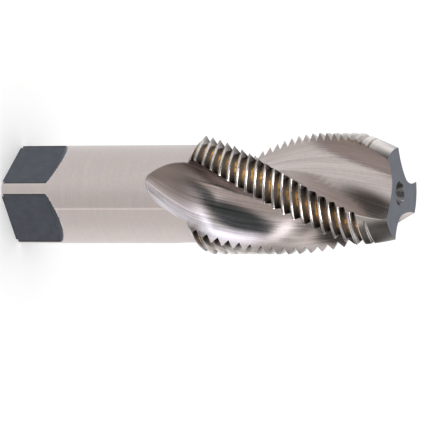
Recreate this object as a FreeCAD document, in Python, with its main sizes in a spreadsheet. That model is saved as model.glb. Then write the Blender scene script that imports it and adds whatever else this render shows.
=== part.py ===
import FreeCAD, Part
import math
import os
import Sketcher

# Spiral-flute machine tap for a 22 mm thread, one solid, standing on its square end.
# Millimetres. Z is the tap's axis, with the square end at Z = 0 and the cutting end on top.

doc = FreeCAD.newDocument("thread_tap_model")

# Driving sizes: name, value and meaning
SIZES = [
    ("total_length", 75, "square end to cutting end"),
    ("shank_dia", 18, "round shank"),
    ("end_bevel", 0.4, "bevel round the square end"),
    ("square_across", 14, "across the flats of the driving square"),
    ("square_length", 9, "length of the flats"),
    ("square_slope", 2.4, "length of the slope from a flat out to the shank"),
    ("thread_dia", 22, "over the thread crests"),
    ("thread_pitch", 1.75, "crest to crest"),
    ("flank_angle", 30, "each thread flank to the square section, degrees"),
    ("thread_start", 35.13, "height where the thread groove starts, at +X"),
    ("thread_back", 36.7, "height where the threaded part rises from the shank"),
    ("back_slope", 1.3, "length of that rise"),
    ("tip_dia", 17.2, "over the cutting edges at the cutting end"),
    ("tip_taper", 6.4, "length of the taper lead"),
    ("tip_relief", 0.35, "fall of the taper from a cutting edge to its heel"),
    ("core_dia", 8.14, "web left between the flutes"),
    ("flute_count", 3, "flutes, and lands between them"),
    ("flute_turn_length", 118, "length of one full turn of a flute"),
    ("flute_stop", 36, "height where a flute stops turning and lifts out"),
    ("flute_end", 29, "height where a flute leaves the shank"),
    ("flute_phase", 98.7, "direction of the first flute at flute_stop, degrees"),
    ("heel_radius", 14.5, "section arc up to the heel of a land"),
    ("rake_half_length", 10.86, "half the long axis of the section ellipse up to a cutting edge"),
    ("rake_half_width", 6.2, "half the short axis of that ellipse"),
    ("land_lag", 50, "from a flute back to the middle of its land, degrees"),
    ("centre_mouth", 4.4, "mouth of the centre hole"),
    ("centre_drill", 1.8, "drilled part of the centre hole"),
    ("centre_depth", 4.2, "depth of the centre hole to the end of its drilled wall"),
]
sheet = doc.addObject("Spreadsheet::Sheet", "sizes")
for row, (name, value, meaning) in enumerate(SIZES, start=1):
    sheet.set("A%d" % row, name)
    sheet.set("B%d" % row, str(value))
    sheet.set("C%d" % row, meaning)
    sheet.setAlias("B%d" % row, name)
doc.recompute()

OVERSHOOT = 1.0  # how far a cutter reaches past the metal it cuts
STOCK = 0.1  # metal over the thread crests, which the grooves take away
CREST_R = "sizes.thread_dia / 2"
ROOT_R = "(sizes.thread_dia / 2 - sizes.thread_pitch / 2 / tan(sizes.flank_angle))"
SHANK_R = "sizes.shank_dia / 2"
CORE_R = "sizes.core_dia / 2"
STOCK_R = CREST_R + " + %s" % STOCK
TOP = "sizes.total_length"


def value_of(text):
    """Present value of an expression, used for the first shape of a sketch."""
    return float(doc.getObject("sizes").evalExpression(text.replace("sizes.", "")))


def pin_point(sketch, geo, end, x, y):
    """Hold one point of a sketch at two expressions."""
    point = sketch.getPoint(geo, end)
    for kind, axis, text, now in (("DistanceX", -2, x, point.x), ("DistanceY", -1, y, point.y)):
        if text == "0":
            sketch.addConstraint(Sketcher.Constraint("PointOnObject", geo, end, axis))
        else:
            index = sketch.addConstraint(Sketcher.Constraint(kind, -1, 1, geo, end, now))
            sketch.setExpression("Constraints[%d]" % index, text)


def draw_outline(sketch, corners):
    """Closed outline of straight lines whose corners are pairs of expressions."""
    points = [FreeCAD.Vector(value_of(x), value_of(y), 0) for x, y in corners]
    count = len(points)
    for i in range(count):
        sketch.addGeometry(Part.LineSegment(points[i], points[(i + 1) % count]), False)
    for i in range(count):
        sketch.addConstraint(Sketcher.Constraint("Coincident", i, 2, (i + 1) % count, 1))
    for i, (x, y) in enumerate(corners):
        pin_point(sketch, i, 1, x, y)


def removed_by(feature):
    """Metal that a cutting feature took away, or an error where it took none."""
    doc.recompute()
    loss = feature.BaseFeature.Shape.Volume - feature.Shape.Volume
    if loss <= 0:
        raise RuntimeError(feature.Label + " removes nothing")
    return loss


# Turned and milled blank: shank, threaded part, driving square, taper lead and centre hole
body = doc.addObject("PartDesign::Body", "blank")
body.Label = "blank"


def body_sketch(name, role="XZ_Plane"):
    sketch = body.newObject("Sketcher::SketchObject", name)
    plane = [feature for feature in body.Origin.OriginFeatures if feature.Role == role][0]
    sketch.AttachmentSupport = (plane, [""])
    sketch.MapMode = "FlatFace"
    return sketch


def repeat_round(name, feature, count):
    """Pattern of one feature round the axis."""
    pattern = body.newObject("PartDesign::PolarPattern", name)
    pattern.Originals = [feature]
    pattern.Axis = (turned_sketch, ["V_Axis"])
    pattern.Angle = 360
    pattern.setExpression("Occurrences", count)
    body.Tip = pattern
    doc.recompute()
    return pattern


# Both slopes run on to the stock over the crests, so each is longer than its own size by a share
BACK_SHARE = "(1 + %s / (%s - %s))" % (STOCK, CREST_R, SHANK_R)
TAPER_SHARE = "(1 + %s / (%s - sizes.tip_dia / 2))" % (STOCK, CREST_R)
turned_sketch = body_sketch("turned_outline")
draw_outline(turned_sketch, [
    ("0", "0"),
    (SHANK_R + " - sizes.end_bevel", "0"),
    (SHANK_R, "sizes.end_bevel"),
    (SHANK_R, "sizes.thread_back"),
    (STOCK_R, "sizes.thread_back + sizes.back_slope * " + BACK_SHARE),
    (STOCK_R, TOP + " - sizes.tip_taper * " + TAPER_SHARE),
    ("sizes.tip_dia / 2", TOP),
    ("0", TOP),
])
turned = body.newObject("PartDesign::Revolution", "turned")
turned.Profile = turned_sketch
turned.ReferenceAxis = (turned_sketch, ["V_Axis"])
turned.Angle = 360
doc.recompute()

# Driving square: a flat with a slope up to the round, four times
square_sketch = body_sketch("square_outline")
SLOPE_RATE = "(sizes.square_slope / ((sizes.shank_dia - sizes.square_across) / 2))"
CLEAR_R = SHANK_R + " + %s" % OVERSHOOT
draw_outline(square_sketch, [
    ("sizes.square_across / 2", "-%s" % OVERSHOOT),
    (CLEAR_R, "-%s" % OVERSHOOT),
    (CLEAR_R, "sizes.square_length + sizes.square_slope + %s * %s" % (OVERSHOOT, SLOPE_RATE)),
    ("sizes.square_across / 2", "sizes.square_length"),
])
flat = body.newObject("PartDesign::Pocket", "square_flat")
flat.Profile = square_sketch
flat.Midplane = True
flat.setExpression("Length", "sizes.shank_dia * 2")
removed_by(flat)
repeat_round("driving_square", flat, "4")

# Taper lead: behind each cutting edge it falls away, as a cone whose axis is set to one side
TAPER_RATE = "((sizes.thread_dia - sizes.tip_dia) / 2 / sizes.tip_taper)"
LAND_WAY = ("(sizes.flute_phase - sizes.land_lag + 360 / sizes.flute_turn_length"
            " * (sizes.total_length - sizes.tip_taper / 2 - sizes.flute_stop))")
ECCENTRICITY = "(sizes.tip_relief * 1.4)"
relief_sketch = body_sketch("relief_outline")
relief_sketch.AttachmentOffset = FreeCAD.Placement(
    FreeCAD.Vector(0, 0, 0), FreeCAD.Rotation(FreeCAD.Vector(0, 1, 0), 1))
relief_sketch.setExpression("AttachmentOffset.Rotation.Angle", LAND_WAY)
relief_sketch.setExpression("AttachmentOffset.Base.x", "-%s * sin(%s)" % (ECCENTRICITY, LAND_WAY))
relief_sketch.setExpression("AttachmentOffset.Base.z", "-%s * cos(%s)" % (ECCENTRICITY, LAND_WAY))
doc.recompute()
HIGH_R = "sizes.tip_dia / 2 - sizes.tip_relief / 2 - %s * %s" % (OVERSHOOT, TAPER_RATE)
HIGH_Z = TOP + " + %s" % OVERSHOOT
LOW_R = CREST_R + " + sizes.tip_relief"
LOW_Z = TOP + " - sizes.tip_taper - sizes.tip_relief * 1.5 / " + TAPER_RATE
OUTSIDE_R = LOW_R + " + %s" % OVERSHOOT
draw_outline(relief_sketch, [(HIGH_R, HIGH_Z), (LOW_R, LOW_Z), (OUTSIDE_R, LOW_Z), (OUTSIDE_R, HIGH_Z)])
relief = body.newObject("PartDesign::Groove", "relief")
relief.Profile = relief_sketch
relief.ReferenceAxis = (relief_sketch, ["V_Axis"])
relief.Midplane = True
relief.setExpression("Angle", "360 / sizes.flute_count - 2")
removed_by(relief)
repeat_round("reliefs", relief, "sizes.flute_count")

# Centre hole in the cutting end: a 60 degree cone, a drilled wall and the drill's point
centre_sketch = body_sketch("centre_outline")
draw_outline(centre_sketch, [
    ("0", TOP),
    ("sizes.centre_mouth / 2", TOP),
    ("sizes.centre_drill / 2", TOP + " - (sizes.centre_mouth - sizes.centre_drill) / 2 / tan(30)"),
    ("sizes.centre_drill / 2", TOP + " - sizes.centre_depth"),
    ("0", TOP + " - sizes.centre_depth - sizes.centre_drill / 2 / tan(59)"),
])
centre_hole = body.newObject("PartDesign::Groove", "centre_hole")
centre_hole.Profile = centre_sketch
centre_hole.ReferenceAxis = (centre_sketch, ["V_Axis"])
centre_hole.Angle = 360
removed_by(centre_hole)
body.Tip = centre_hole

# Flute section: an arc on the heel side and part of an ellipse that runs on round the core and up
# to the cutting edge, closed by an arc outside the thread
section = doc.addObject("Sketcher::SketchObject", "flute_section")
section.Placement = FreeCAD.Placement(FreeCAD.Vector(0, 0, 0), FreeCAD.Rotation(FreeCAD.Vector(0, 0, 1), 1))
section.setExpression("Placement.Base.z", "sizes.flute_stop")
section.setExpression("Placement.Rotation.Angle", "sizes.flute_phase")
HEEL_X = CORE_R + " + sizes.heel_radius"
RAKE_FAR_X = CORE_R + " + 2 * sizes.rake_half_length"
OUTER_R = CREST_R + " + 2 * %s" % OVERSHOOT

deepest = FreeCAD.Vector(value_of(CORE_R), 0, 0)
outer = value_of(OUTER_R)
heel = value_of("sizes.heel_radius")
heel_centre = deepest + FreeCAD.Vector(heel, 0, 0)
heel_x = (outer ** 2 - heel ** 2 + heel_centre.x ** 2) / (2 * heel_centre.x)
heel_end = FreeCAD.Vector(heel_x, (outer ** 2 - heel_x ** 2) ** 0.5, 0)

# The ellipse's point where it meets the outer circle, from the quadratic for its cosine
long_half = value_of("sizes.rake_half_length")
short_half = value_of("sizes.rake_half_width")
rake_centre = deepest + FreeCAD.Vector(long_half, 0, 0)
squares = long_half ** 2 - short_half ** 2
middle = rake_centre.x * long_half
constant = rake_centre.x ** 2 + short_half ** 2 - outer ** 2
rake_turn = math.acos((middle - (middle ** 2 - squares * constant) ** 0.5) / squares)
rake_end = rake_centre - FreeCAD.Vector(
    long_half * math.cos(rake_turn), short_half * math.sin(rake_turn), 0)


def add_arc(centre, start, end):
    """Arc of the section turning left from start to end."""
    circle = Part.Circle(centre, FreeCAD.Vector(0, 0, 1), (start - centre).Length)
    arc = Part.ArcOfCircle(circle, circle.parameter(start), circle.parameter(end))
    return section.addGeometry(arc, False)


heel_arc = add_arc(heel_centre, heel_end, deepest)
ellipse = Part.Ellipse(rake_centre, long_half, short_half)
rake_arc = section.addGeometry(Part.ArcOfEllipse(ellipse, math.pi, math.pi + rake_turn), False)
outer_arc = add_arc(FreeCAD.Vector(0, 0, 0), rake_end, heel_end)
section.exposeInternalGeometry(rake_arc)
long_axis, short_axis = outer_arc + 1, outer_arc + 2
for one, other in ((heel_arc, rake_arc), (rake_arc, outer_arc), (outer_arc, heel_arc)):
    section.addConstraint(Sketcher.Constraint("Coincident", one, 2, other, 1))
pin_point(section, heel_arc, 3, HEEL_X, "0")
section.addConstraint(Sketcher.Constraint("PointOnObject", rake_arc, 1, -1))
far_end = 1 if section.getPoint(long_axis, 1).x > rake_centre.x else 2
pin_point(section, long_axis, 3 - far_end, CORE_R, "0")
pin_point(section, long_axis, far_end, RAKE_FAR_X, "0")
low_end = 1 if section.getPoint(short_axis, 1).y < 0 else 2
depth = section.addConstraint(
    Sketcher.Constraint("DistanceY", short_axis, low_end, rake_arc, 3, short_half))
section.setExpression("Constraints[%d]" % depth, "sizes.rake_half_width")
section.addConstraint(Sketcher.Constraint("Coincident", outer_arc, 3, -1, 1))
rim = section.addConstraint(Sketcher.Constraint("Radius", outer_arc, outer))
section.setExpression("Constraints[%d]" % rim, OUTER_R)
if section.solve() != 0:
    raise RuntimeError("the flute section has conflicting sizes")

# Path of a flute: a right-handed helix from where it stops turning to past the cutting end
flute_path = doc.addObject("Part::Helix", "flute_path")
flute_path.LocalCoord = "Right-handed"
flute_path.setExpression("Pitch", "sizes.flute_turn_length")
flute_path.setExpression("Height", "sizes.total_length - sizes.flute_stop + %s" % OVERSHOOT)
flute_path.setExpression("Radius", CORE_R)
flute_path.Placement = section.Placement
flute_path.setExpression("Placement.Base.z", "sizes.flute_stop")
flute_path.setExpression("Placement.Rotation.Angle", "sizes.flute_phase")
doc.recompute()

# Flutes: the wound section, and the same section carried straight and outwards where it stops
LIFT_RATE = "((sizes.shank_dia - sizes.core_dia) / 2 / (sizes.flute_stop - sizes.flute_end))"
LIFT_DROP = "(sizes.flute_stop - sizes.flute_end + 2 * %s)" % OVERSHOOT
FLUTES = int(value_of("sizes.flute_count"))
cutters = []
for i in range(FLUTES):
    wound = doc.addObject("Part::Sweep", "wound_flute_%d" % (i + 1))
    wound.Sections = [section]
    wound.Spine = (flute_path, ["Edge1"])
    wound.Solid = True
    wound.Frenet = True
    lift = doc.addObject("Part::Extrusion", "flute_lift_%d" % (i + 1))
    lift.Base = section
    lift.DirMode = "Custom"
    lift.Dir = FreeCAD.Vector(0, 0, -1)
    lift.setExpression("Dir.x", "%s * cos(sizes.flute_phase)" % LIFT_RATE)
    lift.setExpression("Dir.y", "%s * sin(sizes.flute_phase)" % LIFT_RATE)
    lift.setExpression("LengthFwd", "%s * sqrt(1 + %s ^ 2)" % (LIFT_DROP, LIFT_RATE))
    lift.Solid = True
    cutter = doc.addObject("Part::MultiFuse", "flute_cutter_%d" % (i + 1))
    cutter.Shapes = [wound, lift]
    cutter.Placement = FreeCAD.Placement(
        FreeCAD.Vector(0, 0, 0), FreeCAD.Rotation(FreeCAD.Vector(0, 0, 1), 360 * i / FLUTES))
    cutters.append(cutter)
all_cutters = doc.addObject("Part::MultiFuse", "flute_cutters")
all_cutters.Shapes = cutters
fluted = doc.addObject("Part::Cut", "fluted")
fluted.Base = body
fluted.Tool = all_cutters
doc.recompute()

# Thread: two sharp V grooves of twice the pitch, wound right-handed side by side, so that their
# flanks meet in a sharp crest
groove = doc.addObject("Sketcher::SketchObject", "thread_groove_outline")
groove.Placement = FreeCAD.Placement(FreeCAD.Vector(0, 0, 0), FreeCAD.Rotation(FreeCAD.Vector(1, 0, 0), 90))
groove.setExpression("Placement.Base.z", "sizes.thread_start")
MOUTH_R = CREST_R + " + 2 * %s" % STOCK
MOUTH_HALF = "((%s - %s) * tan(sizes.flank_angle))" % (MOUTH_R, ROOT_R)
draw_outline(groove, [
    (ROOT_R, "0"),
    (MOUTH_R, MOUTH_HALF),
    (MOUTH_R, "-(%s)" % MOUTH_HALF),
])
thread_path = doc.addObject("Part::Helix", "thread_path")
thread_path.LocalCoord = "Right-handed"
thread_path.SegmentLength = 1
thread_path.setExpression("Pitch", "sizes.thread_pitch * 2")
thread_path.setExpression("Height", "sizes.total_length - sizes.thread_start + 2 * sizes.thread_pitch")
thread_path.setExpression("Radius", ROOT_R)
thread_path.setExpression("Placement.Base.z", "sizes.thread_start")
doc.recompute()
first_groove = doc.addObject("Part::Sweep", "thread_groove_1")
first_groove.Sections = [groove]
turns = len(thread_path.Shape.Edges)
first_groove.Spine = (thread_path, ["Edge%d" % (i + 1) for i in range(turns)])
first_groove.Solid = True
first_groove.Frenet = True
second_groove = doc.addObject("Part::Compound", "thread_groove_2")
second_groove.Links = [first_groove]
second_groove.Placement = FreeCAD.Placement(
    FreeCAD.Vector(0, 0, 0), FreeCAD.Rotation(FreeCAD.Vector(0, 0, 1), 180))
half_threaded = doc.addObject("Part::Cut", "half_threaded")
half_threaded.Base = fluted
half_threaded.Tool = first_groove
tap = doc.addObject("Part::Cut", "thread_tap")
tap.Label = "thread_tap"
tap.Base = half_threaded
tap.Tool = second_groove
doc.recompute()

# Checks, then one file for the one piece
for item in doc.Objects:
    if "Invalid" in item.State or "Error" in item.State:
        raise RuntimeError("%s did not build: %s" % (item.Label, item.State))
for first, last in ((body, fluted), (fluted, half_threaded), (half_threaded, tap)):
    if last.Shape.Volume >= first.Shape.Volume:
        raise RuntimeError(last.Label + " removes nothing")
if tap.Shape.isNull() or not tap.Shape.isValid() or len(tap.Shape.Solids) != 1:
    raise RuntimeError("thread_tap is not one sound solid")
os.makedirs("parts", exist_ok=True)
tap.Shape.exportStep("parts/%s.step" % tap.Label)
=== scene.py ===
"""Looks of the thread tap: one ground steel piece, its finishes, the studio and the camera."""

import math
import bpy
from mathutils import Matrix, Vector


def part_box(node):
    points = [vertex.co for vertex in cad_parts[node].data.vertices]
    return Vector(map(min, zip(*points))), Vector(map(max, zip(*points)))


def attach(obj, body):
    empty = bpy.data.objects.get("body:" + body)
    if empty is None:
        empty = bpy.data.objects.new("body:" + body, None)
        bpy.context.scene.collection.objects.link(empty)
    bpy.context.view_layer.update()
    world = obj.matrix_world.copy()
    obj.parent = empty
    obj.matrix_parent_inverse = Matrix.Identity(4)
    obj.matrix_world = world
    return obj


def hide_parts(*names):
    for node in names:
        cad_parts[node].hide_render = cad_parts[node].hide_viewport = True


bl_info = {
    "name": "Thread Tap",
    "version": (1, 0, 0),
    "blender": (4, 5, 0),
    "location": "3D View > Sidebar > Thread Tap",
    "description": "Builds a spiral-flute machine tap with its finishes and studio",
    "category": "Add Mesh",
}

import bmesh
import bpy
import numpy as np
from bpy.props import FloatProperty, FloatVectorProperty, PointerProperty
from mathutils import Matrix, Vector

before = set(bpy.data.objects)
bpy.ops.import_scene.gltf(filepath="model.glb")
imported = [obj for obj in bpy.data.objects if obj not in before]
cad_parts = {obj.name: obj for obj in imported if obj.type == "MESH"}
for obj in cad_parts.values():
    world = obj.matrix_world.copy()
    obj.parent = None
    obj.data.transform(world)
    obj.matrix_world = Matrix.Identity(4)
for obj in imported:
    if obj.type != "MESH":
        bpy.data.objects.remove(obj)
CAD_LOW, CAD_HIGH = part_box("thread_tap")
MM = 0.001
TOTAL_MM = (CAD_HIGH.z - CAD_LOW.z) / MM
CREST_MM = (CAD_HIGH.x - CAD_LOW.x) / 2 / MM
IMAGE_PX = 430
SENSOR_MM = 36
FLUTES = 3
FLUTE_APART = 360 / FLUTES
FLATS = 4
FLAT_APART = 360 / FLATS

# Finishes, in the order of the mesh's material slots
SHANK, FLAT, FLUTE, THREAD, FACE, HOLE = range(6)


def size(name, description, default):
    """Property for a plain number: a length in millimetres, an angle in degrees or pixels."""
    return FloatProperty(name=name, description=description, default=default)


def tint(name, description, colour):
    """Property for the colour of a finish."""
    return FloatVectorProperty(name=name, description=description, subtype="COLOR", default=colour)


class TapShape(bpy.types.PropertyGroup):
    """Sizes of the tap in millimetres and degrees. Its thread has one start."""

    total: size("Total length", "Square end to cutting end", TOTAL_MM)
    crest_radius: size("Crest radius", "Axis to thread crest", CREST_MM - 0.02)
    shank_radius: size("Shank radius", "Axis to the round shank", 9.0)
    end_bevel: size("End bevel", "Bevel round the square end", 0.4)
    square_half: size("Half square", "Axis to a flat of the square", 7.0)
    square_length: size("Square length", "Length of the flats", 9.0)
    square_slope: size("Slope length", "From a flat out to the shank", 2.4)
    pitch: size("Pitch", "Crest to crest", 1.75)
    thread_start: size("Thread start", "Height of a groove root at +X", 35.13)
    crest_flat: size("Crest flat", "Width of a crest", 0.12)
    root_flat: size("Root flat", "Width of a root", 0.08)
    flank_angle: size("Flank angle", "Flank to the square section", 30.0)
    thread_back: size("Thread back", "Where the thread rises", 36.7)
    back_slope: size("Back slope", "Length of that rise", 1.3)
    tip_radius: size("Tip radius", "Cutting edges at the end face", 8.6)
    tip_taper: size("Tip taper", "Length of the taper lead", 6.4)
    tip_relief: size("Tip relief", "Fall from edge to heel", 0.35)
    core_radius: size("Core radius", "Half the web between flutes", 4.07)
    flute_lead: size("Flute lead", "Length of one turn of a flute", 118.0)
    flute_stop: size("Flute stop", "Height at which the phase is given", 36.0)
    flute_phase: size("Flute phase", "Direction of the first flute", 98.7)
    heel_radius: size("Heel arc", "Section arc up to a heel", 14.5)
    rake_half_length: size("Rake half length", "Long half axis of the section's ellipse", 10.86)
    rake_half_width: size("Rake half width", "Short half axis of that ellipse", 6.2)
    turn_end: size("Turn end", "Height where a flute stops turning", 35.0)
    runout_top: size("Run-out top", "Height where a flute starts to rise", 36.5)
    runout_end: size("Run-out end", "Height where a flute leaves", 29.0)
    hole_mouth: size("Hole mouth", "Radius of the centre hole's mouth", 2.2)
    hole_drill: size("Hole drill", "Radius of its drilled part", 0.9)
    hole_depth: size("Hole depth", "To the end of the drilled wall", 4.2)


class TapLook(bpy.types.PropertyGroup):
    """Colours of the tap's finishes, among them painted shade, painted highlights and painted reflections.
    """

    shank: tint("Shank", "Satin ground shank", (0.565, 0.497, 0.471))
    flat: tint("Flats", "Dark flats of the square", (0.108, 0.120, 0.142))
    flute: tint("Flutes", "Ground flutes", (0.53, 0.47, 0.45))
    heat_tint: tint("Heat tint", "Brown tint by a cutting edge", (0.25, 0.20, 0.175))
    # Painted reflection: a pale cool sheen near a heel
    heel_sheen: tint("Heel tint", "Pale cool steel by a heel", (0.76, 0.74, 0.80))
    crest: tint("Crests", "Polished crests of the thread", (0.64, 0.60, 0.58))
    flank: tint("Flanks", "Flanks that face the end", (0.36, 0.325, 0.30))
    # Painted shade on the flanks that face the shank
    rear_flank_shade: tint("Rear flanks", "Flanks that face the shank", (0.23, 0.20, 0.18))
    # Painted warm reflection beside a root
    warm_root_reflection: tint("Straw tint", "Tint beside a root", (0.78, 0.54, 0.23))
    # Painted shade at the bottom of the thread groove
    root: tint("Roots", "Bottom of the thread groove", (0.20, 0.13, 0.06))
    face: tint("End face", "Blue-grey end face", (0.15, 0.16, 0.19))
    # Direction round the axis of the shank's painted highlight line, degrees
    highlight_line_side: size("Rub line", "Direction of the rub line, degrees", 249.2)


# Section of the flutes. Its X axis runs out through the middle of a flute, its origin is on the axis


def heel_side(share, reach, lift, shape):
    """Point on the arc from the deepest place of a flute up to a heel, at a share of the arc's turn.
    The turn ends where the circle is a reach away from the axis, by the rule of cosines."""
    radius = shape.heel_radius
    centre = shape.core_radius + radius + lift
    end = np.arccos(np.clip((centre**2 + radius**2 - reach**2) / (2 * centre * radius), -1, 1))
    turn = share * end
    return centre - radius * np.cos(turn), radius * np.sin(turn)


def rake_side(share, reach, lift, shape):
    """Point on the ellipse from the deepest place of a flute round to a cutting edge, at a share of
    the ellipse's turn. The turn ends where the ellipse is a reach away from the axis: its cosine is
    the smaller root of a quadratic."""
    long_half, short_half = shape.rake_half_length, shape.rake_half_width
    centre = shape.core_radius + long_half + lift
    squares = long_half**2 - short_half**2
    middle = centre * long_half
    constant = centre**2 + short_half**2 - reach**2
    end = np.arccos(np.clip((middle - np.sqrt(middle**2 - squares * constant)) / squares, -1, 1))
    turn = share * end
    return centre - long_half * np.cos(turn), -short_half * np.sin(turn)


class Columns:
    """Columns of the grid round the tap: for each flute its rake side, its heel side and its land."""

    RAKE, HEEL, LAND = 24, 34, 26
    SECTOR = RAKE + HEEL + LAND
    COUNT = FLUTES * SECTOR

    def __init__(self):
        index = np.arange(self.COUNT)
        self.sector = index // self.SECTOR
        place = index % self.SECTOR
        self.on_rake = place < self.RAKE
        self.on_heel = (place >= self.RAKE) & (place <= self.RAKE + self.HEEL)
        self.on_land = place > self.RAKE + self.HEEL
        self.rake_share = np.where(self.on_rake, 1 - place / self.RAKE, 0)
        self.heel_share = np.where(self.on_heel, (place - self.RAKE) / self.HEEL, 0)
        self.land_share = np.where(self.on_land, (place - self.RAKE - self.HEEL) / self.LAND, 0)
        self.edge_place = self.sector * self.SECTOR
        self.heel_place = self.edge_place + self.RAKE + self.HEEL


def eased_ramp(x, ease):
    """Nothing below zero and x above it, joined by a parabola over the ease length on each side."""
    return np.where(np.abs(x) < ease, (x + ease) ** 2 / (4 * ease), np.maximum(x, 0))


def wound_flute(z, shape):
    """Direction of the first flute in degrees at a height, if it went round at its lead's rate."""
    return shape.flute_phase + 360 / shape.flute_lead * (z - shape.flute_stop)


def flute_turn(z, shape):
    """Direction of the first flute at a height, in degrees: it goes round at the lead's rate down to
    the height where it stops turning, and the change is eased."""
    ease = 3.0
    return wound_flute(z + eased_ramp(shape.turn_end - z, ease), shape)


def flute_lift(z, shape):
    """How far a flute has risen at a height: a ramp, eased at its start, that brings it to the
    shank's surface at the run-out's end and a little past it."""
    ease, past_end = 4.5, 0.6
    drop = shape.runout_top - shape.runout_end
    rate = (shape.shank_radius - shape.core_radius) / drop
    return rate * np.minimum(eased_ramp(shape.runout_top - z, ease), drop + past_end)


def blank_radius(z, lag, shape):
    """Outside radius before the thread is cut: the shank, the rise behind the thread, the crests,
    and the taper, which falls away in proportion to the lag behind the cutting edge."""
    rise = shape.shank_radius + np.maximum(z - shape.thread_back, 0) / shape.back_slope * (
        shape.crest_radius - shape.shank_radius)
    rate = (shape.crest_radius - shape.tip_radius) / shape.tip_taper
    taper = shape.tip_radius + (shape.total - z) * rate - shape.tip_relief * lag
    return np.minimum(np.minimum(rise, taper), shape.crest_radius)


def thread_radius(along, shape):
    """Radius of the endless thread at a distance along the axis from a root: flanks at the flank
    angle between a narrow root and a narrow crest."""
    slope = math.tan(math.radians(shape.flank_angle))
    depth = (shape.pitch - shape.crest_flat - shape.root_flat) / 2 / slope
    root = shape.crest_radius - depth
    fold = np.abs((along / shape.pitch + 0.5) % 1 - 0.5) * shape.pitch
    rise = np.clip(fold - shape.root_flat / 2, 0, None) / slope
    return np.minimum(root + rise, shape.crest_radius)


def round_section(reach_edge, reach_heel, lift, columns, shape):
    """Direction and radius of every column in one section, for given radii at the cutting edges and
    heels: flute points are on the flute's arcs, land points share out the turn between them."""
    rake_x, rake_y = rake_side(columns.rake_share, reach_edge, lift, shape)
    heel_x, heel_y = heel_side(columns.heel_share, reach_heel, lift, shape)
    x = np.where(columns.on_rake, rake_x, heel_x)
    y = np.where(columns.on_rake, rake_y, heel_y)
    last_x, last_y = rake_side(1.0, reach_edge, lift, shape)
    first_x, first_y = heel_side(1.0, reach_heel, lift, shape)
    heel_turn = np.arctan2(first_y, first_x)
    edge_turn = math.radians(FLUTE_APART) + np.arctan2(last_y, last_x)
    land = heel_turn + columns.land_share * (edge_turn - heel_turn)
    turn = np.where(columns.on_land, land, np.arctan2(y, x))
    return np.degrees(turn), np.hypot(x, y)


def threaded_grid(columns, shape):
    """Fluted and threaded part. Rows follow the thread: a row's height grows by a pitch in a turn, so
    every crest and root is a row of its own. Rows past either end are held at that end's plane. A
    point's direction and height each follow from the other, so both are worked out in turns."""
    flank_rows, below_crest = 5, 0.26
    spare_below, spare_turns = 5, 7
    first_twist, tries = 3.0, 8
    least_depth = 0.3
    pitch = shape.pitch
    half_crest, half_root = shape.crest_flat / 2, shape.root_flat / 2
    top = pitch / 2 - half_crest
    flank = np.concatenate([np.linspace(half_root, top - below_crest, flank_rows), [top]])
    steps = np.concatenate([-flank[::-1], flank])
    turns = math.ceil((shape.total - shape.runout_top) / pitch) + spare_turns
    first = shape.runout_top - shape.flute_phase / 360 * pitch - spare_below * pitch
    start = shape.thread_start + math.floor((first - shape.thread_start) / pitch) * pitch
    rows = (start + np.arange(turns)[:, None] * pitch + steps[None, :]).reshape(-1, 1)
    sector = FLUTE_APART * columns.sector[None, :]
    lag = np.where(columns.on_land, 1 - columns.land_share, np.where(columns.on_rake, 0, 1))[None, :]
    angle = shape.flute_phase + sector + first_twist * (rows - shape.flute_stop)
    for _ in range(tries):
        z = np.clip(rows + pitch * angle / 360, shape.runout_top, shape.total)
        along = z - pitch * angle / 360 - shape.thread_start
        reach = np.minimum(blank_radius(z, lag, shape), thread_radius(along, shape))
        edge_reach, heel_reach = reach[:, columns.edge_place], reach[:, columns.heel_place]
        turn, radius = round_section(edge_reach, heel_reach, flute_lift(z, shape), columns, shape)
        angle = flute_turn(z, shape) + sector + turn
    radius = np.where(columns.on_land[None, :], reach, radius)
    root = thread_radius(0.0, shape)
    blank = blank_radius(z, lag, shape)
    depth = np.clip((blank - reach) / np.maximum(blank - root, least_depth), 0, 1)
    return (angle, radius, z), depth, len(steps)


def runout_grid(columns, shape):
    """Run-out of the flutes: rings at even heights, where the flutes' arcs are trimmed a little
    outside the shank near their ends and then held at its surface."""
    ring_count, below_end, outside = 48, 1.2, 0.35
    z = np.linspace(shape.runout_top, shape.runout_end - below_end, ring_count)[:, None]
    lift = flute_lift(z, shape)
    reach = np.maximum(shape.shank_radius, shape.core_radius + lift + outside)
    turn, radius = round_section(reach, reach, lift, columns, shape)
    radius = np.where(columns.on_land[None, :], shape.shank_radius, radius)
    angle = flute_turn(z, shape) + FLUTE_APART * columns.sector[None, :] + turn
    return angle, np.minimum(radius, shape.shank_radius), z * np.ones_like(angle)


def off_flat(angle):
    """How far a direction in degrees is from the middle of the nearest flat of the square."""
    return np.abs((angle + FLAT_APART / 2) % FLAT_APART - FLAT_APART / 2)


def square_columns(count, shape):
    """Directions of the columns round the driving square, evenly over each flat and each corner."""
    corner_steps = 14
    corner = math.degrees(math.acos(shape.square_half / shape.shank_radius))
    flat = np.linspace(-corner, corner, count // FLATS - corner_steps + 1)
    strip = np.linspace(corner, FLAT_APART - corner, corner_steps + 1)[1:-1]
    quarter = np.concatenate([flat, strip])
    return np.concatenate([quarter + FLAT_APART * i for i in range(FLATS)])


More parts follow.
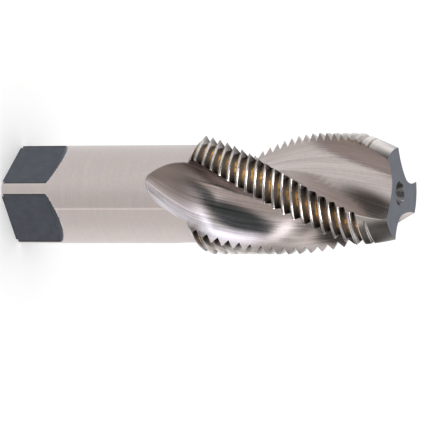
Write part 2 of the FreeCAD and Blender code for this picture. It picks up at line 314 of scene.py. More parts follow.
def shank_grid(runout_angle, columns, shape):
    """Plain shank and driving square: rings whose columns pass from the run-out's directions to the
    square's. A ring is the circle, cut by each flat's plane, which slopes out above the flats."""
    plain_rings, slope_rings, flat_rings = 14, 12, 8
    below_runout, off_slope, over_slope = 1.7, 0.6, 0.1
    square = square_columns(columns.COUNT, shape)
    shift = np.searchsorted(square, runout_angle[0] % 360)
    index = np.arange(columns.COUNT) + shift
    whole = 360 * math.floor(runout_angle[0] / 360)
    aim = square[index % columns.COUNT] + 360 * (index // columns.COUNT) + whole
    aim = aim - round((aim - runout_angle).mean() / FLAT_APART) * FLAT_APART
    slope_top = shape.square_length + shape.square_slope
    plain = np.linspace(shape.runout_end - below_runout, slope_top + off_slope, plain_rings)
    slope = np.linspace(slope_top + over_slope, shape.square_length, slope_rings)
    flats = np.linspace(shape.square_length - off_slope, shape.end_bevel, flat_rings)
    z = np.concatenate([plain, slope, flats, [0.0]])[:, None]
    share = np.clip((plain[0] - z) / (plain[0] - plain[-1]), 0, 1)
    share = share * share * (3 - 2 * share)
    angle = runout_angle[None, :] * (1 - share) + aim[None, :] * share
    reach = shape.square_half + np.maximum(z - shape.square_length, 0) * (
        shape.shank_radius - shape.square_half) / shape.square_slope
    round_part = shape.shank_radius - np.maximum(shape.end_bevel - z, 0)
    radius = np.minimum(round_part, reach / np.cos(np.radians(off_flat(angle))))
    return angle, radius, z * np.ones_like(angle)


def closing_rows(angle, radius, stops):
    """Rows that go in from a ring to a pole: at each stop every point has a share of the ring's
    radius and of the stop's round radius, and the stop's height."""
    radii = [radius * share + round_radius * (1 - share) for share, round_radius, _ in stops]
    heights = [np.full_like(angle, height) for _, _, height in stops]
    return np.array([angle] * len(stops)), np.array(radii), np.array(heights)


def to_points(angle, radius, z):
    """Points in metres of grid directions in degrees, radii and heights in millimetres."""
    turn = np.radians(angle)
    return np.stack([radius * np.cos(turn), radius * np.sin(turn), z], axis=-1).reshape(-1, 3) * MM


def grid_faces(first, rows, columns, shift):
    """Corner numbers of a grid's faces, closed round: the last column joins the first one, a shift
    of rows further on."""
    row, column = np.meshgrid(np.arange(rows - 1), np.arange(columns), indexing="ij")
    step = np.where(column == columns - 1, shift, 0)
    beside = (column + 1) % columns
    keep = row + 1 + step < rows
    corners = np.stack([row * columns + column, (row + step) * columns + beside,
                        (row + 1 + step) * columns + beside, (row + 1) * columns + column], axis=-1)
    return first + corners[keep], row[keep], column[keep]


def wheel_path(angle, radius, z, sector, shape):
    """Place on the grinding wheel's path in millimetres: across it, along it, and a step for each
    flute. The section's frame keeps turning at the lead's rate, so the path stays straight through
    the run-out. Across is the sideways distance less a share of the distance out, plus a share of
    the flute's rise."""
    out_share, rise_share, along_share, flute_step = 0.8, 0.05, 1.16, 40.0
    turn = np.radians(angle - wound_flute(z, shape) - FLUTE_APART * sector)
    rise = flute_lift(z, shape)
    out = radius * np.cos(turn) - shape.core_radius - rise
    across = radius * np.sin(turn) - out_share * out + rise_share * rise
    return np.stack([across, z * along_share, flute_step * sector + 0 * z], axis=-1).reshape(-1, 3)


def edge_distance(angle, radius, z, columns):
    """Straight distance in millimetres, within a row, to the row's cutting edge from the rake side,
    to its heel from the heel side, and to the nearer of both from a land."""
    place = to_points(angle, radius, z).reshape(*angle.shape, 3) / MM
    next_edge = (columns.edge_place + columns.SECTOR) % columns.COUNT
    to_edge, to_heel, to_next = (
        np.linalg.norm(place - place[:, end], axis=-1)
        for end in (columns.edge_place, columns.heel_place, next_edge))
    on_land = np.minimum(to_heel, to_next)
    return np.where(columns.on_rake, to_edge, np.where(columns.on_heel, to_heel, on_land))


def square_edge_distance(angle, z, shape):
    """Distance in millimetres to a flat's outline or to the square end: along the round part it is
    arc length, over a flat it is the difference of the tangents, and above the slopes it is joined
    at right angles with the height above them."""
    beside = np.radians(off_flat(angle))
    slope_top = shape.square_length + shape.square_slope
    rise = np.clip(z - shape.square_length, 0, shape.square_slope) / shape.square_slope
    reach = shape.square_half + rise * (shape.shank_radius - shape.square_half)
    half = np.arccos(reach / shape.shank_radius)
    on_round = shape.shank_radius * (beside - half)
    on_flat = reach * (np.tan(half) - np.tan(beside))
    distance = np.hypot(np.where(beside > half, on_round, on_flat), np.maximum(z - slope_top, 0))
    return np.minimum(distance, z)


def plain_finish(finish):
    """One finish for every face of a grid."""
    return lambda row, column: np.full(row.shape, finish)


def tap_surface(shape):
    """Points, faces, finish of each face, and for each point its wheel path, its depth in the thread
    from 0 at a crest to 1 at a root, and its distance to an edge, for the whole tap."""
    columns = Columns()
    in_flute = columns.on_rake | (columns.on_heel & (columns.heel_share < 1))
    least_cut, least_flat, face_rings = 1e-4, 1e-3, 13
    points, faces, finish, path, depth, edge = [], [], [], [], [], []
    count = 0

    def lay(grid, finishes, edges, depths=0.0, shift=0):
        """Take in a grid of directions, radii and heights, with the finish of its faces by row and
        column, and the distance and depth of its points."""
        nonlocal count
        nothing = np.zeros_like(grid[0])
        corners, row, column = grid_faces(count, len(nothing), columns.COUNT, shift)
        points.append(to_points(*grid))
        faces.append(corners)
        finish.append(finishes(row, column))
        path.append(wheel_path(*grid, columns.sector, shape))
        depth.append((depths + nothing).ravel())
        edge.append((edges + nothing).ravel())
        count += nothing.size

    def threaded_finish(row, column):
        return np.where(in_flute[column], FLUTE, THREAD)

    threaded, groove, per_pitch = threaded_grid(columns, shape)
    lay(threaded, threaded_finish, edge_distance(*threaded, columns), groove, per_pitch)

    runout = [part[::-1] for part in runout_grid(columns, shape)]
    below_shank = runout[1] < shape.shank_radius - least_cut

    def runout_finish(row, column):
        cut = below_shank[row, column] | below_shank[row + 1, column]
        return np.where(in_flute[column] & cut, FLUTE, SHANK)

    lay(runout, runout_finish, edge_distance(*runout, columns))

    shank = shank_grid(runout[0][0], columns, shape)
    stacked = [np.vstack([above[:1], part])[::-1] for above, part in zip(runout, shank)]
    bevel = np.where(stacked[2] < shape.end_bevel, shape.end_bevel, 0)
    on_flat = stacked[1] < shape.shank_radius - bevel - least_flat

    def shank_finish(row, column):
        beside = (column + 1) % columns.COUNT
        lower = on_flat[row, column] | on_flat[row, beside]
        upper = on_flat[row + 1, column] | on_flat[row + 1, beside]
        return np.where(lower & upper, FLAT, SHANK)

    lay(stacked, shank_finish, square_edge_distance(stacked[0], stacked[2], shape))

    foot_stops = [(share, 0, 0.0) for share in (1.0, 0.66, 0.33, 0.0)]
    foot = [part[::-1] for part in closing_rows(shank[0][-1], shank[1][-1], foot_stops)]
    lay(foot, plain_finish(FLAT), foot[1].max() - foot[1])

    top, mouth, drill = shape.total, shape.hole_mouth, shape.hole_drill
    rim_angle, rim_radius = threaded[0][-1], threaded[1][-1]
    face_stops = [(1 - share, mouth, top) for share in np.linspace(0, 1, face_rings)]
    face = closing_rows(rim_angle, rim_radius, face_stops)
    lay(face, plain_finish(FACE), rim_radius[None, :] - face[1])

    half_cone, drill_point = math.radians(30), 0.5
    cone = (mouth - drill) / math.tan(half_cone)
    hole_stops = [(0, radius, top - down) for radius, down in (
        (mouth, 0), ((mouth + drill) / 2, cone / 2), (drill, cone),
        (drill, shape.hole_depth), (0.0, shape.hole_depth + drill_point))]
    hole = closing_rows(rim_angle, rim_radius, hole_stops)
    lay(hole, plain_finish(HOLE), top - hole[2])
    return [np.concatenate(part) for part in (points, faces, finish, path, depth, edge)]


def point_values(mesh, name):
    """Values kept on a mesh's points under a name."""
    values = np.empty(len(mesh.vertices), dtype=np.float32)
    mesh.attributes[name].data.foreach_get("value", values)
    return values


def soften_crests(mesh):
    """Take the sharp mark off the edges along the crests, so that a crest shades as if rounded. Both
    ends of such an edge are shallow in the thread, in the threaded height and off the end face, and
    one of them is off the land's edges."""
    shallow_depth, inland_mm = 0.12, 0.02
    threaded_from_mm, off_face_mm = 37.0, 0.01
    ends = np.empty(len(mesh.edges) * 2, dtype=np.int32)
    mesh.edges.foreach_get("vertices", ends)
    ends = ends.reshape(-1, 2)
    places = np.empty(len(mesh.vertices) * 3, dtype=np.float32)
    mesh.vertices.foreach_get("co", places)
    height = places[2::3][ends] / MM
    threaded = ((height > threaded_from_mm) & (height < TOTAL_MM - off_face_mm)).all(axis=1)
    shallow = (point_values(mesh, "thread_depth")[ends] < shallow_depth).all(axis=1)
    inland = point_values(mesh, "edge_mm")[ends].max(axis=1) > inland_mm
    marks = mesh.attributes["sharp_edge"].data
    sharp = np.empty(len(marks), dtype=bool)
    marks.foreach_get("value", sharp)
    marks.foreach_set("value", sharp & ~(shallow & inland & threaded))


def new_mesh_object(name, points, faces, finish, values, materials):
    """Object with one closed mesh: doubles merged, empty faces dropped, faces turned outwards, edges
    sharp by angle. Each of the named values is kept as an attribute of the points."""
    merged_m, empty_m, sharp_angle = 5e-7, 1e-7, math.radians(26)
    mesh = bpy.data.meshes.new(name)
    mesh.from_pydata(points.tolist(), [], faces.tolist())
    mesh.polygons.foreach_set("material_index", finish.astype(np.int32))
    for value_name, value in values.items():
        kind, field = ("FLOAT_VECTOR", "vector") if value.ndim == 2 else ("FLOAT", "value")
        attribute = mesh.attributes.new(value_name, kind, "POINT")
        attribute.data.foreach_set(field, value.astype(np.float32).ravel())
    edit = bmesh.new()
    edit.from_mesh(mesh)
    bmesh.ops.remove_doubles(edit, verts=edit.verts, dist=merged_m)
    bmesh.ops.dissolve_degenerate(edit, edges=edit.edges, dist=empty_m)
    bmesh.ops.recalc_face_normals(edit, faces=edit.faces)
    if edit.calc_volume(signed=True) < 0:
        bmesh.ops.reverse_faces(edit, faces=edit.faces)
    edit.to_mesh(mesh)
    edit.free()
    for material in materials:
        mesh.materials.append(material)
    mesh.shade_smooth()
    mesh.set_sharp_from_angle(angle=sharp_angle)
    soften_crests(mesh)
    piece = bpy.data.objects.new(name, mesh)
    bpy.context.collection.objects.link(piece)
    return piece


# Node helpers


def add(tree, kind, inputs=None, **settings):
    """Add a node to a tree with its settings; an input is given a socket to link or a plain value."""
    made = tree.nodes.new(kind)
    for name, value in settings.items():
        setattr(made, name, value)
    for key, value in (inputs or {}).items():
        if isinstance(value, bpy.types.NodeSocket):
            tree.links.new(value, made.inputs[key])
        else:
            made.inputs[key].default_value = value
    return made


def arithmetic(tree, operation, first, second=0.0, third=0.0):
    """Result of one Math node."""
    return add(tree, "ShaderNodeMath", {0: first, 1: second, 2: third}, operation=operation).outputs[0]


def times(tree, first, second):
    """Product of two values."""
    return arithmetic(tree, "MULTIPLY", first, second)


def layered(tree, base, *layers):
    """Base value, with each layer's value added in that layer's share."""
    for value, share in layers:
        base = arithmetic(tree, "MULTIPLY_ADD", value, share, base)
    return base


def swing(tree, value):
    """Value less a half, so that it takes away as often as it adds."""
    return arithmetic(tree, "SUBTRACT", value, 0.5)


def vector_value(tree, operation, *vectors):
    """Value that one Vector Math node gives."""
    made = add(tree, "ShaderNodeVectorMath", dict(enumerate(vectors)), operation=operation)
    return made.outputs["Value"]


def eased(tree, value, low, high, start=0.0, end=1.0):
    """Value carried from low..high to start..end, held outside, with a smooth start and end."""
    inputs = {"Value": value, "From Min": low, "From Max": high, "To Min": start, "To Max": end}
    return add(tree, "ShaderNodeMapRange", inputs, interpolation_type="SMOOTHSTEP").outputs["Result"]


def blend(tree, factor, first, second, kind="MIX"):
    """Colour between two colours."""
    inputs = {0: factor}
    for key, colour in ((6, first), (7, second)):
        inputs[key] = colour if isinstance(colour, bpy.types.NodeSocket) else (*colour, 1)
    return add(tree, "ShaderNodeMix", inputs, data_type="RGBA", blend_type=kind).outputs[2]


def shade(tree, colour, value):
    """Colour made darker or lighter by a value."""
    grey = add(tree, "ShaderNodeCombineColor", {0: value, 1: value, 2: value}).outputs[0]
    return blend(tree, 1.0, colour, grey, "MULTIPLY")


def ramp(tree, value, stops):
    """Colour read from a ramp at a value between nothing and one."""
    colours = add(tree, "ShaderNodeValToRGB", {0: value})
    elements = colours.color_ramp.elements
    while len(elements) < len(stops):
        elements.new(1.0)
    for element, (place, colour) in zip(elements, stops):
        element.position = place
        element.color = (*colour, 1)
    return colours.outputs[0]


def measured(tree, name):
    """Value kept on the piece's points under a name."""
    found = add(tree, "ShaderNodeAttribute", attribute_type="GEOMETRY", attribute_name=name)
    return found.outputs["Vector" if name == "wheel_path" else "Fac"]


def place_in_mm(tree):
    """Place on the object in millimetres."""
    at = add(tree, "ShaderNodeTexCoord").outputs["Object"]
    return add(tree, "ShaderNodeVectorMath", {0: at, "Scale": 1 / MM}, operation="SCALE").outputs[0]


def split(tree, vector):
    """Sockets of a vector's three parts."""
    return add(tree, "ShaderNodeSeparateXYZ", {0: vector}).outputs


def joined(tree, x, y, z):
    """Vector from three parts."""
    return add(tree, "ShaderNodeCombineXYZ", {0: x, 1: y, 2: z}).outputs[0]


# Effects shared by the finishes


def new_group(name, inputs, outputs):
    """Node group with named sockets and its input and output nodes."""
    group = bpy.data.node_groups.new(name, "ShaderNodeTree")
    for label, kind, value in inputs:
        socket = group.interface.new_socket(label, in_out="INPUT", socket_type=kind)
        if value is not None:
            socket.default_value = value
    for label in outputs:
        group.interface.new_socket(label, in_out="OUTPUT", socket_type="NodeSocketFloat")
    return group, group.nodes.new("NodeGroupInput").outputs, group.nodes.new("NodeGroupOutput").inputs


def even_noise(tree, place, scale=1.0, detail=3.0, roughness=0.5):
    """Noise at a place, stretched so that it fills the range from nothing to one."""
    noise = add(tree, "ShaderNodeTexNoise", {
        "Vector": place, "Scale": scale, "Detail": detail, "Roughness": roughness})
    return eased(tree, noise.outputs[0], 0.3, 0.7)


def grinding_lines_group():
    """Fine and broad lines left by grinding: noise squeezed across the lines and drawn out along
    them. Across is the place's first part."""
    group, given, out = new_group("grinding_lines", [
        ("Place", "NodeSocketVector", None), ("Lines per mm", "NodeSocketFloat", 4.0),
        ("Draw out", "NodeSocketFloat", 0.06)], ["Fine", "Broad"])
    for label, squeeze, stretch, detail in (("Fine", 1.0, 1.0, 2.0), ("Broad", 0.28, 0.5, 1.0)):
        across = times(group, given["Lines per mm"], squeeze)
        along = times(group, given["Draw out"], stretch)
        rates = joined(group, across, along, along)
        at = add(group, "ShaderNodeVectorMath", {0: given["Place"], 1: rates}, operation="MULTIPLY")
        group.links.new(even_noise(group, at.outputs[0], detail=detail, roughness=0.6), out[label])


def worn_edge_group():
    """Wear along an edge: full at the edge and gone at about the width, uneven along it."""
    group, given, out = new_group("worn_edge", [
        ("Place", "NodeSocketVector", None), ("Distance", "NodeSocketFloat", 1.0),
        ("Width", "NodeSocketFloat", 0.3)], ["Wear"])
    noise = add(group, "ShaderNodeTexNoise", {"Vector": given["Place"], "Scale": 1.3, "Detail": 3.0})
    uneven = layered(group, 0.2, (noise.outputs[0], 1.6))
    share = arithmetic(group, "DIVIDE", given["Distance"], times(group, given["Width"], uneven))
    group.links.new(eased(group, share, 0.15, 1.0, 1.0, 0.0), out["Wear"])


def patina_group():
    """Cloudy unevenness of handled steel: broad clouds and fine mottling."""
    group, given, out = new_group("patina", [
        ("Place", "NodeSocketVector", None), ("Cloud size", "NodeSocketFloat", 4.0),
    ], ["Clouds", "Mottle"])
    rate = arithmetic(group, "DIVIDE", 1.0, given["Cloud size"])
    for label, finer in (("Clouds", 1.0), ("Mottle", 5.0)):
        group.links.new(even_noise(group, given["Place"], times(group, rate, finer)), out[label])


def effect(tree, name, **inputs):
    """Outputs of a shared effect placed in a material; input names take spaces for underscores."""
    values = {key.replace("_", " "): value for key, value in inputs.items()}
    return add(tree, "ShaderNodeGroup", values, node_tree=bpy.data.node_groups[name]).outputs


def worn(tree, at, colour, bare, width, strength):
    """Colour with bare steel let through along the piece's edges, over a width in millimetres."""
    edge = effect(tree, "worn_edge", Place=at, Distance=measured(tree, "edge_mm"), Width=width)
    return blend(tree, times(tree, edge["Wear"], strength), colour, bare)


def steel_shader(name, metallic=1.0):
    """Material with a metallic shader; returns it, its tree and the shader's inputs."""
    material = bpy.data.materials.new(name)
    material.use_nodes = True
    shader = material.node_tree.nodes["Principled BSDF"]
    shader.inputs["Metallic"].default_value = metallic
    return material, material.node_tree, shader.inputs


def finish_with(tree, sockets, colour, roughness, relief, height):
    """Give the shader its colour, a roughness that changes over the surface or is one number, and a
    bump of some height in millimetres."""
    tree.links.new(colour, sockets["Base Color"])
    if isinstance(roughness, bpy.types.NodeSocket):
        tree.links.new(roughness, sockets["Roughness"])
    else:
        sockets["Roughness"].default_value = roughness
    bump = add(tree, "ShaderNodeBump", {"Height": relief, "Distance": height * MM, "Strength": 1.0})
    tree.links.new(bump.outputs[0], sockets["Normal"])


# Finishes, and first the colours of their worn edges, painted shadow lines and the hole's painted shade

BARE_STEEL = (0.75, 0.70, 0.67)
BARE_SHANK = (0.62, 0.58, 0.56)
BARE_FLAT = (0.4, 0.37, 0.36)
BARE_FACE = (0.5, 0.48, 0.48)
# Painted shadow line round a flat
FLAT_OUTLINE_SHADOW = (0.035, 0.037, 0.045)
# Painted shadow where a groove meets the end of a land
TOOTH_END_SHADOW = (0.045, 0.038, 0.033)
# Centre hole: a pale rim, then painted shade in the cone and deeper down
HOLE_RIM, HOLE_CONE_SHADE, HOLE_DEEP_SHADE = (0.55, 0.53, 0.52), (0.26, 0.25, 0.25), (0.10, 0.10, 0.105)


def satin_shank(look):
    """Ground shank: faint rings round it, clouds, and one long painted highlight line with a paler painted
    sheen on one side.
    """
    material, tree, sockets = steel_shader("satin_shank", metallic=0.4)
    at = place_in_mm(tree)
    x, y, z = split(tree, at)
    rings = effect(tree, "grinding_lines", Place=joined(tree, z, x, y), Lines_per_mm=3.2, Draw_out=0.1)
    clouds = effect(tree, "patina", Place=at, Cloud_size=3.0)
    aim = math.radians(look.highlight_line_side)
    beside = vector_value(tree, "DOT_PRODUCT", at, (-math.sin(aim), math.cos(aim), 0))
    facing = vector_value(tree, "DOT_PRODUCT", at, (math.cos(aim), math.sin(aim), 0))
    # Painted highlight: a thin bright line along the shank and a paler painted band beside it, on the side
    # that faces the line's direction
    front = eased(tree, facing, 2.0, 4.0)
    off_line = arithmetic(tree, "ABSOLUTE", beside)
    highlight = times(tree, eased(tree, off_line, 0.05, 0.32, 1.0, 0.0), front)
    pale = times(tree, eased(tree, beside, -0.1, 0.5), front)
    tone = layered(tree, 0.955, (rings["Fine"], 0.05), (clouds["Mottle"], 0.04), (pale, 0.13), (highlight, 0.38))
    cooler = [part * share for part, share in zip(look.shank, (0.97, 1.0, 1.03))]
    colour = shade(tree, blend(tree, clouds["Clouds"], look.shank, cooler), tone)
    colour = worn(tree, at, colour, BARE_SHANK, width=0.5, strength=0.35)
    relief = layered(tree, rings["Fine"], (rings["Broad"], 0.4))
    finish_with(tree, sockets, colour, 0.29, relief, height=0.0008)
    return material


def dark_flat(look):
    """Dark flats of the square: lines along them, mottling, and a painted shadow line round the outline.
    """
    material, tree, sockets = steel_shader("dark_flat")
    at = place_in_mm(tree)
    x, y, z = split(tree, at)
    across = joined(tree, arithmetic(tree, "ADD", x, y), z, z)
    lines = effect(tree, "grinding_lines", Place=across, Lines_per_mm=3.0, Draw_out=0.12)
    clouds = effect(tree, "patina", Place=at, Cloud_size=1.6)
    tone = layered(tree, 0.80, (lines["Fine"], 0.14), (clouds["Clouds"], 0.12), (clouds["Mottle"], 0.14))
    # Painted shadow: a dark line round the outline of a flat
    outline = eased(tree, measured(tree, "edge_mm"), 0.15, 0.5, 0.6, 0.0)
    colour = blend(tree, outline, shade(tree, look.flat, tone), FLAT_OUTLINE_SHADOW)
    colour = worn(tree, at, colour, BARE_FLAT, width=0.16, strength=0.5)
    roughness = layered(tree, 0.42, (lines["Fine"], 0.12))
    finish_with(tree, sockets, colour, roughness, lines["Fine"], height=0.003)
    return material


def ground_flute(look):
    """Ground flutes: lines along the wheel's path, stronger near the run-out, a brown heat tint near a
    cutting edge, painted shade in that brown near the run-out, a painted pale cool reflection near a heel,
    and bright worn edges."""
    material, tree, sockets = steel_shader("ground_flute")
    path = measured(tree, "wheel_path")
    at = place_in_mm(tree)
    across, height = split(tree, path)[0], split(tree, at)[2]
    lines = effect(tree, "grinding_lines", Place=path, Lines_per_mm=3.4, Draw_out=0.05)
    hair = effect(tree, "grinding_lines", Place=path, Lines_per_mm=9.0, Draw_out=0.12)
    clouds = effect(tree, "patina", Place=at, Cloud_size=3.5)
    near_runout = eased(tree, height, 36.0, 50.0, 1.0, 0.0)
    strength = layered(tree, 0.14, (near_runout, 0.75))
    hair_strength = layered(tree, 0.10, (near_runout, 0.22))
    tone = layered(tree, 1.0, *((swing(tree, value), share) for value, share in (
        (lines["Fine"], strength), (lines["Broad"], strength),
        (hair["Fine"], hair_strength), (clouds["Mottle"], 0.05))))
    far_side = eased(tree, across, -9.0, -5.0, 1.0, 0.0)
    warm = times(tree, far_side, layered(tree, 0.1, (lines["Broad"], 0.4)))
    low = eased(tree, height, 34.0, 42.0, 1.0, 0.0)
    # Painted shade: the flute darkened towards the heat tint's brown near the run-out, and made rougher
    # there
    runout_shade = times(tree, low, eased(tree, across, 0.5, 6.5, 0.95, 0.0))
    brown = arithmetic(tree, "MAXIMUM", warm, runout_shade)
    colour = blend(tree, brown, shade(tree, look.flute, tone), look.heat_tint)
    # Painted reflection: a pale cool sheen towards a heel, strongest near the run-out
    cool = times(tree, near_runout, eased(tree, across, 2.0, 7.5, 0.0, 0.8))
    colour = blend(tree, cool, colour, look.heel_sheen)
    colour = worn(tree, at, colour, BARE_STEEL, width=0.22, strength=0.5)
    roughness = layered(tree, 0.11, (lines["Fine"], 0.06), (clouds["Clouds"], 0.03), (runout_shade, 0.3))
    relief = layered(tree, hair["Fine"], (lines["Fine"], 1.4))
    finish_with(tree, sockets, colour, roughness, relief, height=0.003)
    return material


def cut_thread(look):
    """Thread: bright crests, grey flanks that painted shade darkens down into a dark root and on the
    flanks that face the shank, a painted warm reflection beside the root, and lines along it. A painted
    highlight makes the middle of a land lighter and more gilded than its ends, where painted shadow also
    darkens the grooves."""
    material, tree, sockets = steel_shader("cut_thread")
    at = place_in_mm(tree)
    x, y, _ = split(tree, at)
    depth, edge_mm = measured(tree, "thread_depth"), measured(tree, "edge_mm")
    down_flank = joined(tree, times(tree, depth, 1.7), x, y)
    lines = effect(tree, "grinding_lines", Place=down_flank, Lines_per_mm=4.0, Draw_out=0.2)
    clouds = effect(tree, "patina", Place=at, Cloud_size=2.0)
    uneven = layered(tree, depth, (swing(tree, clouds["Mottle"]), 0.12))
    # Painted shade: light at the crest and darker down the flank into the groove
    colour = ramp(tree, uneven, [
        (0.0, look.crest), (0.08, look.crest), (0.28, look.flank), (1.0, look.flank)])
    # Painted shade on the flanks that face the shank
    facing_up = split(tree, add(tree, "ShaderNodeTexCoord").outputs["Normal"])[2]
    rear_shade = times(tree, eased(tree, facing_up, -0.5, 0.1, 1.0, 0.0), eased(tree, depth, 0.05, 0.2))
    colour = blend(tree, rear_shade, colour, look.rear_flank_shade)
    # Painted highlight: lighter and more gilded in the middle of a land, darker at its ends
    middle = eased(tree, edge_mm, 0.6, 2.8)
    patchy = layered(tree, 0.4, (eased(tree, clouds["Clouds"], 0.3, 0.7), 0.6))
    # Painted reflection: a patchy warm tint beside the root
    warm_reflection = times(tree, eased(tree, uneven, 0.70, 0.94), patchy)
    warm_reflection = times(tree, warm_reflection, layered(tree, 0.1, (middle, 0.9)))
    colour = blend(tree, warm_reflection, colour, look.warm_root_reflection)
    # Painted shade at the bottom of the groove
    colour = blend(tree, eased(tree, uneven, 0.96, 1.02, 0.0, 0.6), colour, look.root)
    # Painted shadow where a groove meets the end of a land
    tooth_end_shadow = times(tree, eased(tree, edge_mm, 0.15, 0.9, 0.85, 0.0), eased(tree, depth, 0.35, 0.75))
    colour = blend(tree, tooth_end_shadow, colour, TOOTH_END_SHADOW)
    tone = layered(tree, 0.85, (lines["Fine"], 0.2), (clouds["Clouds"], 0.1))
    # Painted highlight: tone raised in the middle of a land and lowered at its ends
    colour = shade(tree, colour, times(tree, tone, layered(tree, 0.56, (middle, 0.66))))
    outer = eased(tree, depth, 0.2, 0.5, 0.6, 0.0)
    colour = worn(tree, at, colour, BARE_STEEL, width=0.25, strength=outer)
    roughness = layered(tree, 0.15, (lines["Fine"], 0.1))
    finish_with(tree, sockets, colour, roughness, lines["Fine"], height=0.004)
    return material


def end_face(look):
    """End face: faint turned rings, clouds, and a pale rubbed rim."""
    material, tree, sockets = steel_shader("end_face")
    at = place_in_mm(tree)
    x, y, _ = split(tree, at)
    out = vector_value(tree, "LENGTH", joined(tree, x, y, 0.0))
    rings = effect(tree, "grinding_lines", Place=joined(tree, out, x, y), Lines_per_mm=3.5, Draw_out=0.08)
    clouds = effect(tree, "patina", Place=at, Cloud_size=2.5)
    tone = layered(tree, 0.88, (rings["Fine"], 0.12), (clouds["Clouds"], 0.12))
    colour = worn(tree, at, shade(tree, look.face, tone), BARE_FACE, width=0.28, strength=0.6)
    roughness = layered(tree, 0.42, (rings["Fine"], 0.1))
    finish_with(tree, sockets, colour, roughness, rings["Fine"], height=0.002)
    return material


def hole_wall(look):
    """Centre hole: a rubbed rim, then painted shade that darkens the steel by the depth below the end
    face.
    """
    material, tree, sockets = steel_shader("hole_wall")
    full_shade_at_mm = 4.0
    clouds = effect(tree, "patina", Place=place_in_mm(tree), Cloud_size=1.0)
    deep = layered(tree, measured(tree, "edge_mm"), (swing(tree, clouds["Mottle"]), 0.5))
    # Painted shade: darker with depth in the hole
    colour = ramp(tree, arithmetic(tree, "DIVIDE", deep, full_shade_at_mm), [
        (0.0, HOLE_RIM), (0.06, HOLE_CONE_SHADE), (0.5, HOLE_DEEP_SHADE)])
    roughness = layered(tree, 0.15, (clouds["Mottle"], 0.15))
    finish_with(tree, sockets, colour, roughness, clouds["Mottle"], height=0.004)
    return material


class TAP_OT_body(bpy.types.Operator):
    """Build the tap's visible surface with its finishes"""

    bl_idname = "tap.body"
    bl_label = "Tap"

    def execute(self, context):
        for make_effect in (grinding_lines_group, worn_edge_group, patina_group):
            make_effect()
        finishes = (satin_shank, dark_flat, ground_flute, cut_thread, end_face, hole_wall)
        materials = [make(context.scene.tap_look) for make in finishes]
        points, faces, finish, path, depth, edge = tap_surface(context.scene.tap_shape)
        values = {"wheel_path": path, "thread_depth": depth, "edge_mm": edge}
        tap = new_mesh_object("tap_body", points, faces, finish, values, materials)
        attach(tap, "root")
        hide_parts("thread_tap")
        return {"FINISHED"}


class TapStudio(bpy.types.PropertyGroup):
    """Camera and light, with pixels counted in the photograph's frame."""

    focal_px: size("Focal length", "In pixels of the frame", 5200.0)
    scale: size("Scale", "Pixels to a millimetre at the aim", 5.4839)
    tilt: size("Tilt", "Camera above the square section, degrees", 22.99)
    heading: size("Heading", "Turn about the axis, degrees", 51.7)
    aim_back: size("Aim", "Aim point below the end face, mm", 36.08)
    aim_side: size("Side", "Aim point beside the axis, mm", -3.829)
    roll: size("Roll", "Roll of the camera, degrees", -0.063)


# Cards round the tap, as its polished faces see them: a card's direction (degrees round from the
# camera's side, and up), half width, half height, tilt, softness of its edge, colour
CARDS = (
    ((0.0, 80.0), 50.0, 50.0, 0.0, 0.12, (0.24, 0.21, 0.20)),
    ((-88.0, 13.0), 38.0, 20.0, 12.0, 0.3, (0.07, 0.065, 0.06)),
    ((78.0, 4.0), 40.0, 17.0, 0.0, 0.5, (0.10, 0.095, 0.09)),
    ((-45.0, -24.0), 42.0, 18.0, 0.0, 0.5, (0.56, 0.51, 0.49)),
    ((-3.0, 5.0), 36.0, 23.0, 0.0, 0.3, (0.07, 0.085, 0.09)),
    ((28.0, 25.0), 30.0, 5.0, 0.0, 0.45, (2.0, 2.05, 2.3)),
    ((66.0, 28.0), 8.0, 3.0, 0.0, 0.5, (1.2, 1.22, 1.3)),
    ((-54.0, 17.0), 20.0, 2.4, 33.0, 0.5, (1.2, 1.15, 1.1)),
    ((-35.0, 12.5), 34.0, 3.0, 30.0, 0.5, (2.4, 2.4, 2.5)),
    ((50.0, 61.0), 10.0, 9.0, 0.0, 0.3, (9.0, 8.9, 8.8)),
    ((-50.0, 61.0), 10.0, 9.0, 0.0, 0.3, (9.0, 8.9, 8.8)),
)


def card_mask(tree, direction, card, away, side, up):
    """How much a card fills a direction: the direction less the card's, in the card's own turned
    and scaled frame, has a length under one on the card."""
    (azimuth, elevation), width, height, tilt, softness, _ = card
    turn, rise, lean = map(math.radians, (azimuth, elevation, tilt))
    level_aim = side * math.sin(turn) - away * math.cos(turn)
    towards = math.cos(rise) * level_aim + math.sin(rise) * up
    level = away * math.sin(turn) + side * math.cos(turn)
    upright = towards.cross(level)
    if upright.dot(up) < 0:
        upright = -upright
    long_way = math.cos(lean) * level + math.sin(lean) * upright
    short_way = towards.cross(long_way)
    local = add(tree, "ShaderNodeMapping", {
        "Vector": direction,
        "Location": towards,
        "Rotation": Matrix((towards, long_way, short_way)).transposed().to_euler(),
        "Scale": (1.0, math.sin(math.radians(width)), math.sin(math.radians(height))),
    }, vector_type="TEXTURE")
    reach = vector_value(tree, "LENGTH", local.outputs[0])
    return eased(tree, reach, 1 - softness, 1 + softness, 1.0, 0.0)


def studio_world(away, side, up):
    """White all round, and for the tap's reflections the soft cards in front of the white."""
    world = bpy.data.worlds.new("studio")
    world.use_nodes = True
    tree = world.node_tree
    direction = add(tree, "ShaderNodeTexCoord").outputs["Generated"]
    colour = (0.97, 0.97, 0.97)
    for card in CARDS:
        colour = blend(tree, card_mask(tree, direction, card, away, side, up), colour, card[-1])
    mirrored = add(tree, "ShaderNodeLightPath").outputs["Is Glossy Ray"]
    light = blend(tree, mirrored, (1.0, 1.0, 1.0), colour)
    tree.links.new(light, tree.nodes["Background"].inputs["Color"])
    return world


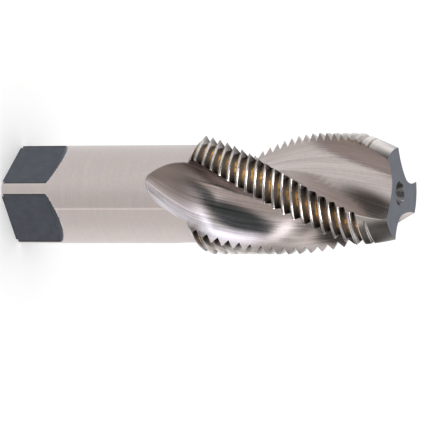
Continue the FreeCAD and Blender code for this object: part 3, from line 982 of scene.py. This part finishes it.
def paper_finish():
    """White floor paper, faintly fibrous, lifted to plain white for the camera only."""
    paper = bpy.data.materials.new("paper")
    paper.use_nodes = True
    tree = paper.node_tree
    shader = tree.nodes["Principled BSDF"].inputs
    at = add(tree, "ShaderNodeTexCoord").outputs["Object"]
    fibre = add(tree, "ShaderNodeTexNoise", {"Vector": at, "Scale": 900.0, "Detail": 3.0}).outputs[0]
    tree.links.new(blend(tree, fibre, (0.93, 0.93, 0.93), (0.95, 0.95, 0.95)), shader["Base Color"])
    shader["Roughness"].default_value = 0.9
    shader["Specular IOR Level"].default_value = 0.2
    seen = add(tree, "ShaderNodeLightPath").outputs["Is Camera Ray"]
    tree.links.new(blend(tree, seen, (0.0, 0.0, 0.0), (0.15, 0.15, 0.15)), shader["Emission Color"])
    shader["Emission Strength"].default_value = 1.0
    return paper


def camera_for(view, total, away, side, up):
    """Camera that looks along the heading and down by the tilt at the aim point, from as far away as
    gives the scale there, and turned by the roll. Its picture's right is along the tap."""
    tilt, roll = math.radians(view.tilt), math.radians(view.roll)
    forward = math.cos(tilt) * away - math.sin(tilt) * up
    right = math.sin(tilt) * away + math.cos(tilt) * up
    image_right = math.cos(roll) * right + math.sin(roll) * side
    image_up = math.cos(roll) * side - math.sin(roll) * right
    aim = Vector((0, 0, total - view.aim_back)) + side * view.aim_side
    place = (aim - forward * view.focal_px / view.scale) * MM
    lens = bpy.data.cameras.new("camera")
    lens.sensor_width = SENSOR_MM
    lens.lens = view.focal_px * SENSOR_MM / IMAGE_PX
    lens.clip_start = 0.01
    camera = bpy.data.objects.new("camera", lens)
    turn = Matrix((image_right, image_up, -forward)).transposed()
    camera.matrix_world = Matrix.Translation(place) @ turn.to_4x4()
    return camera


def paper_floor(half_m=6.0):
    """Flat floor, which the tap's reflections leave out in favour of the cards."""
    mesh = bpy.data.meshes.new("floor")
    corners = [(x * half_m, y * half_m, 0) for x, y in ((-1, -1), (1, -1), (1, 1), (-1, 1))]
    mesh.from_pydata(corners, [], [(0, 1, 2, 3)])
    mesh.materials.append(paper_finish())
    floor = bpy.data.objects.new("floor", mesh)
    floor.visible_glossy = False
    return floor


class TAP_OT_studio(bpy.types.Operator):
    """Set up the floor, the light and the camera"""

    bl_idname = "tap.studio"
    bl_label = "Studio"

    def execute(self, context):
        scene = context.scene
        view = scene.tap_studio
        scene.view_settings.view_transform = "Standard"
        heading = math.radians(view.heading)
        away = Vector((math.cos(heading), math.sin(heading), 0))
        side = Vector((-math.sin(heading), math.cos(heading), 0))
        up = Vector((0, 0, 1))
        scene.camera = camera_for(view, scene.tap_shape.total, away, side, up)
        scene.world = studio_world(away, side, up)
        floor = paper_floor()
        for made in (scene.camera, floor):
            context.collection.objects.link(made)
        return {"FINISHED"}


class TAP_PT_panel(bpy.types.Panel):
    """Sizes, finishes and steps of the tap"""

    bl_idname = "TAP_PT_panel"
    bl_label = "Thread Tap"
    bl_space_type = "VIEW_3D"
    bl_region_type = "UI"
    bl_category = "Thread Tap"

    def draw(self, context):
        column = self.layout.column()
        for operator in OPERATORS:
            column.operator(operator.bl_idname)
        for group in (context.scene.tap_shape, context.scene.tap_look, context.scene.tap_studio):
            for name in group.__annotations__:
                column.prop(group, name)


GROUPS = {"tap_shape": TapShape, "tap_look": TapLook, "tap_studio": TapStudio}
OPERATORS = (TAP_OT_body, TAP_OT_studio)


def register():
    for cls in (*GROUPS.values(), *OPERATORS, TAP_PT_panel):
        bpy.utils.register_class(cls)
    for name, group in GROUPS.items():
        setattr(bpy.types.Scene, name, PointerProperty(type=group))


def unregister():
    for name in GROUPS:
        delattr(bpy.types.Scene, name)
    for cls in reversed((*GROUPS.values(), *OPERATORS, TAP_PT_panel)):
        bpy.utils.unregister_class(cls)


def main():
    register()
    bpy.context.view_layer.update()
    bpy.ops.tap.body()
    bpy.ops.tap.studio()


if __name__ == "__main__":
    main()
